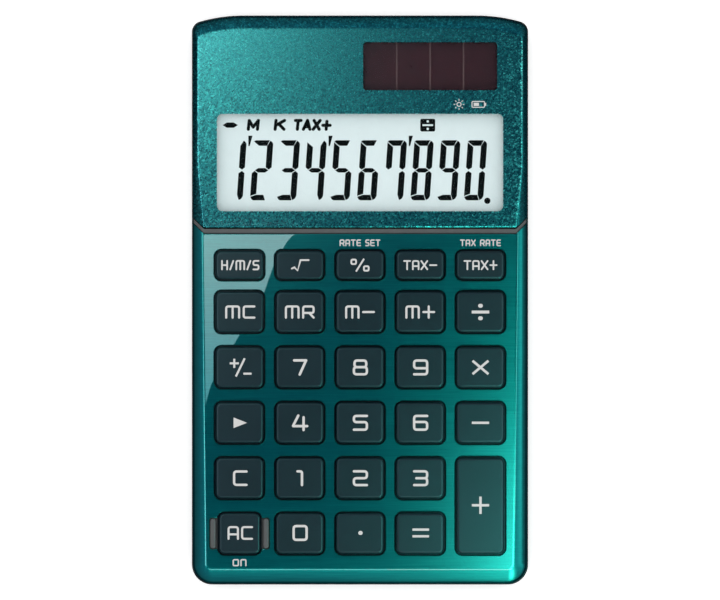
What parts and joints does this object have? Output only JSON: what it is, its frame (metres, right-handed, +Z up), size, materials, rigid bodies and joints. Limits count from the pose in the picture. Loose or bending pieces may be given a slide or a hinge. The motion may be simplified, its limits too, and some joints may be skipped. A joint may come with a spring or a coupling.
{
  "type": "pocket calculator",
  "caption": "Slim solar and battery pocket calculator with a brushed key panel, sprung push keys, a wide liquid crystal display and a solar cell beside it.",
  "frame": {"origin": "on the resting surface, under the middle of the case", "axes": "+Z up out of the keys, +Y towards the display end, +X to the user's right"},
  "size_m": [0.07, 0.1186, 0.0086],
  "materials": {
    "back_plastic": "fine moulded texture, near black",
    "foot_rubber": "matt black",
    "door_plastic": "fine moulded texture",
    "screw_steel": "zinc plated",
    "frame_plastic": "mid grey, satin",
    "adhesive": "pale adhesive film",
    "key_panel_metal": "brushed across, anodised teal",
    "display_panel_paint": "teal with fine metallic glitter under gloss",
    "window_clear": "clear acrylic",
    "window_tinted": "tinted acrylic",
    "solar_silicon": "dark brown amorphous silicon",
    "wire_red": "insulated wire",
    "wire_black": "insulated wire",
    "lcd_film": "pale grey-green film",
    "lcd_glass": "clear glass",
    "lcd_reflector": "diffuse silver film",
    "holder_plastic": "white moulding",
    "zebra": "pink silicone with conductive layers",
    "board_green": "green solder mask",
    "carbon": "printed carbon",
    "epoxy": "black epoxy",
    "chip_body": "ceramic",
    "capacitor_sleeve": "sleeved",
    "silicone": "pale silicone",
    "cell_steel": "bright steel",
    "contact_metal": "tinned brass strip",
    "key_plastic": "dark slate, satin gloss, printed legends"
  },
  "bodies": {
    "case": {"back_cover": "back_plastic", "rubber_feet": "foot_rubber", "battery_door": "door_plastic", "battery_door_screw": "screw_steel", "case_screws": "screw_steel", "board_screws": "screw_steel", "inner_frame": "frame_plastic", "panel_adhesive": "adhesive", "key_panel": "key_panel_metal", "display_panel": "display_panel_paint", "display_window": "window_clear", "solar_window": "window_tinted", "solar_cell": "solar_silicon", "solar_wire_red": "wire_red", "solar_wire_black": "wire_black", "lcd_polariser": "lcd_film", "lcd_front_glass": "lcd_glass", "lcd_rear_glass": "lcd_glass", "lcd_reflector": "lcd_reflector", "lcd_holder": "holder_plastic", "zebra_strip": "zebra", "main_board": "board_green", "contact_pads": "carbon", "chip_blob": "epoxy", "chip_parts": "chip_body", "buffer_capacitor": "capacitor_sleeve", "key_mat": "silicone", "key_domes": "silicone", "battery": "cell_steel", "battery_contacts": "contact_metal"},
    "key_hms": {"key_hms": "key_plastic"},
    "key_root": {"key_root": "key_plastic"},
    "key_percent": {"key_percent": "key_plastic"},
    "key_tax_minus": {"key_tax_minus": "key_plastic"},
    "key_tax_plus": {"key_tax_plus": "key_plastic"},
    "key_mc": {"key_mc": "key_plastic"},
    "key_mr": {"key_mr": "key_plastic"},
    "key_m_minus": {"key_m_minus": "key_plastic"},
    "key_m_plus": {"key_m_plus": "key_plastic"},
    "key_divide": {"key_divide": "key_plastic"},
    "key_sign": {"key_sign": "key_plastic"},
    "key_7": {"key_7": "key_plastic"},
    "key_8": {"key_8": "key_plastic"},
    "key_9": {"key_9": "key_plastic"},
    "key_times": {"key_times": "key_plastic"},
    "key_back": {"key_back": "key_plastic"},
    "key_4": {"key_4": "key_plastic"},
    "key_5": {"key_5": "key_plastic"},
    "key_6": {"key_6": "key_plastic"},
    "key_minus": {"key_minus": "key_plastic"},
    "key_c": {"key_c": "key_plastic"},
    "key_1": {"key_1": "key_plastic"},
    "key_2": {"key_2": "key_plastic"},
    "key_3": {"key_3": "key_plastic"},
    "key_plus": {"key_plus": "key_plastic"},
    "key_ac": {"key_ac": "key_plastic"},
    "key_0": {"key_0": "key_plastic"},
    "key_point": {"key_point": "key_plastic"},
    "key_equals": {"key_equals": "key_plastic"}
  },
  "joints": [
    {"name": "key_hms_press", "type": "slide", "parent": "case", "child": "key_hms", "axis": [0, 0, -1], "range_m": [0, 0.0008], "stiffness_N_per_m": 500, "springref_m": -0.0003, "deforming": ["key_domes"]},
    {"name": "key_root_press", "type": "slide", "parent": "case", "child": "key_root", "axis": [0, 0, -1], "range_m": [0, 0.0008], "stiffness_N_per_m": 500, "springref_m": -0.0003, "deforming": ["key_domes"]},
    {"name": "key_percent_press", "type": "slide", "parent": "case", "child": "key_percent", "axis": [0, 0, -1], "range_m": [0, 0.0008], "stiffness_N_per_m": 500, "springref_m": -0.0003, "deforming": ["key_domes"]},
    {"name": "key_tax_minus_press", "type": "slide", "parent": "case", "child": "key_tax_minus", "axis": [0, 0, -1], "range_m": [0, 0.0008], "stiffness_N_per_m": 500, "springref_m": -0.0003, "deforming": ["key_domes"]},
    {"name": "key_tax_plus_press", "type": "slide", "parent": "case", "child": "key_tax_plus", "axis": [0, 0, -1], "range_m": [0, 0.0008], "stiffness_N_per_m": 500, "springref_m": -0.0003, "deforming": ["key_domes"]},
    {"name": "key_mc_press", "type": "slide", "parent": "case", "child": "key_mc", "axis": [0, 0, -1], "range_m": [0, 0.0008], "stiffness_N_per_m": 500, "springref_m": -0.0003, "deforming": ["key_domes"]},
    {"name": "key_mr_press", "type": "slide", "parent": "case", "child": "key_mr", "axis": [0, 0, -1], "range_m": [0, 0.0008], "stiffness_N_per_m": 500, "springref_m": -0.0003, "deforming": ["key_domes"]},
    {"name": "key_m_minus_press", "type": "slide", "parent": "case", "child": "key_m_minus", "axis": [0, 0, -1], "range_m": [0, 0.0008], "stiffness_N_per_m": 500, "springref_m": -0.0003, "deforming": ["key_domes"]},
    {"name": "key_m_plus_press", "type": "slide", "parent": "case", "child": "key_m_plus", "axis": [0, 0, -1], "range_m": [0, 0.0008], "stiffness_N_per_m": 500, "springref_m": -0.0003, "deforming": ["key_domes"]},
    {"name": "key_divide_press", "type": "slide", "parent": "case", "child": "key_divide", "axis": [0, 0, -1], "range_m": [0, 0.0008], "stiffness_N_per_m": 500, "springref_m": -0.0003, "deforming": ["key_domes"]},
    {"name": "key_sign_press", "type": "slide", "parent": "case", "child": "key_sign", "axis": [0, 0, -1], "range_m": [0, 0.0008], "stiffness_N_per_m": 500, "springref_m": -0.0003, "deforming": ["key_domes"]},
    {"name": "key_7_press", "type": "slide", "parent": "case", "child": "key_7", "axis": [0, 0, -1], "range_m": [0, 0.0008], "stiffness_N_per_m": 500, "springref_m": -0.0003, "deforming": ["key_domes"]},
    {"name": "key_8_press", "type": "slide", "parent": "case", "child": "key_8", "axis": [0, 0, -1], "range_m": [0, 0.0008], "stiffness_N_per_m": 500, "springref_m": -0.0003, "deforming": ["key_domes"]},
    {"name": "key_9_press", "type": "slide", "parent": "case", "child": "key_9", "axis": [0, 0, -1], "range_m": [0, 0.0008], "stiffness_N_per_m": 500, "springref_m": -0.0003, "deforming": ["key_domes"]},
    {"name": "key_times_press", "type": "slide", "parent": "case", "child": "key_times", "axis": [0, 0, -1], "range_m": [0, 0.0008], "stiffness_N_per_m": 500, "springref_m": -0.0003, "deforming": ["key_domes"]},
    {"name": "key_back_press", "type": "slide", "parent": "case", "child": "key_back", "axis": [0, 0, -1], "range_m": [0, 0.0008], "stiffness_N_per_m": 500, "springref_m": -0.0003, "deforming": ["key_domes"]},
    {"name": "key_4_press", "type": "slide", "parent": "case", "child": "key_4", "axis": [0, 0, -1], "range_m": [0, 0.0008], "stiffness_N_per_m": 500, "springref_m": -0.0003, "deforming": ["key_domes"]},
    {"name": "key_5_press", "type": "slide", "parent": "case", "child": "key_5", "axis": [0, 0, -1], "range_m": [0, 0.0008], "stiffness_N_per_m": 500, "springref_m": -0.0003, "deforming": ["key_domes"]},
    {"name": "key_6_press", "type": "slide", "parent": "case", "child": "key_6", "axis": [0, 0, -1], "range_m": [0, 0.0008], "stiffness_N_per_m": 500, "springref_m": -0.0003, "deforming": ["key_domes"]},
    {"name": "key_minus_press", "type": "slide", "parent": "case", "child": "key_minus", "axis": [0, 0, -1], "range_m": [0, 0.0008], "stiffness_N_per_m": 500, "springref_m": -0.0003, "deforming": ["key_domes"]},
    {"name": "key_c_press", "type": "slide", "parent": "case", "child": "key_c", "axis": [0, 0, -1], "range_m": [0, 0.0008], "stiffness_N_per_m": 500, "springref_m": -0.0003, "deforming": ["key_domes"]},
    {"name": "key_1_press", "type": "slide", "parent": "case", "child": "key_1", "axis": [0, 0, -1], "range_m": [0, 0.0008], "stiffness_N_per_m": 500, "springref_m": -0.0003, "deforming": ["key_domes"]},
    {"name": "key_2_press", "type": "slide", "parent": "case", "child": "key_2", "axis": [0, 0, -1], "range_m": [0, 0.0008], "stiffness_N_per_m": 500, "springref_m": -0.0003, "deforming": ["key_domes"]},
    {"name": "key_3_press", "type": "slide", "parent": "case", "child": "key_3", "axis": [0, 0, -1], "range_m": [0, 0.0008], "stiffness_N_per_m": 500, "springref_m": -0.0003, "deforming": ["key_domes"]},
    {"name": "key_plus_press", "type": "slide", "parent": "case", "child": "key_plus", "axis": [0, 0, -1], "range_m": [0, 0.0008], "stiffness_N_per_m": 500, "springref_m": -0.0003, "deforming": ["key_domes"]},
    {"name": "key_ac_press", "type": "slide", "parent": "case", "child": "key_ac", "axis": [0, 0, -1], "range_m": [0, 0.0008], "stiffness_N_per_m": 500, "springref_m": -0.0003, "deforming": ["key_domes"]},
    {"name": "key_0_press", "type": "slide", "parent": "case", "child": "key_0", "axis": [0, 0, -1], "range_m": [0, 0.0008], "stiffness_N_per_m": 500, "springref_m": -0.0003, "deforming": ["key_domes"]},
    {"name": "key_point_press", "type": "slide", "parent": "case", "child": "key_point", "axis": [0, 0, -1], "range_m": [0, 0.0008], "stiffness_N_per_m": 500, "springref_m": -0.0003, "deforming": ["key_domes"]},
    {"name": "key_equals_press", "type": "slide", "parent": "case", "child": "key_equals", "axis": [0, 0, -1], "range_m": [0, 0.0008], "stiffness_N_per_m": 500, "springref_m": -0.0003, "deforming": ["key_domes"]}
  ]
}
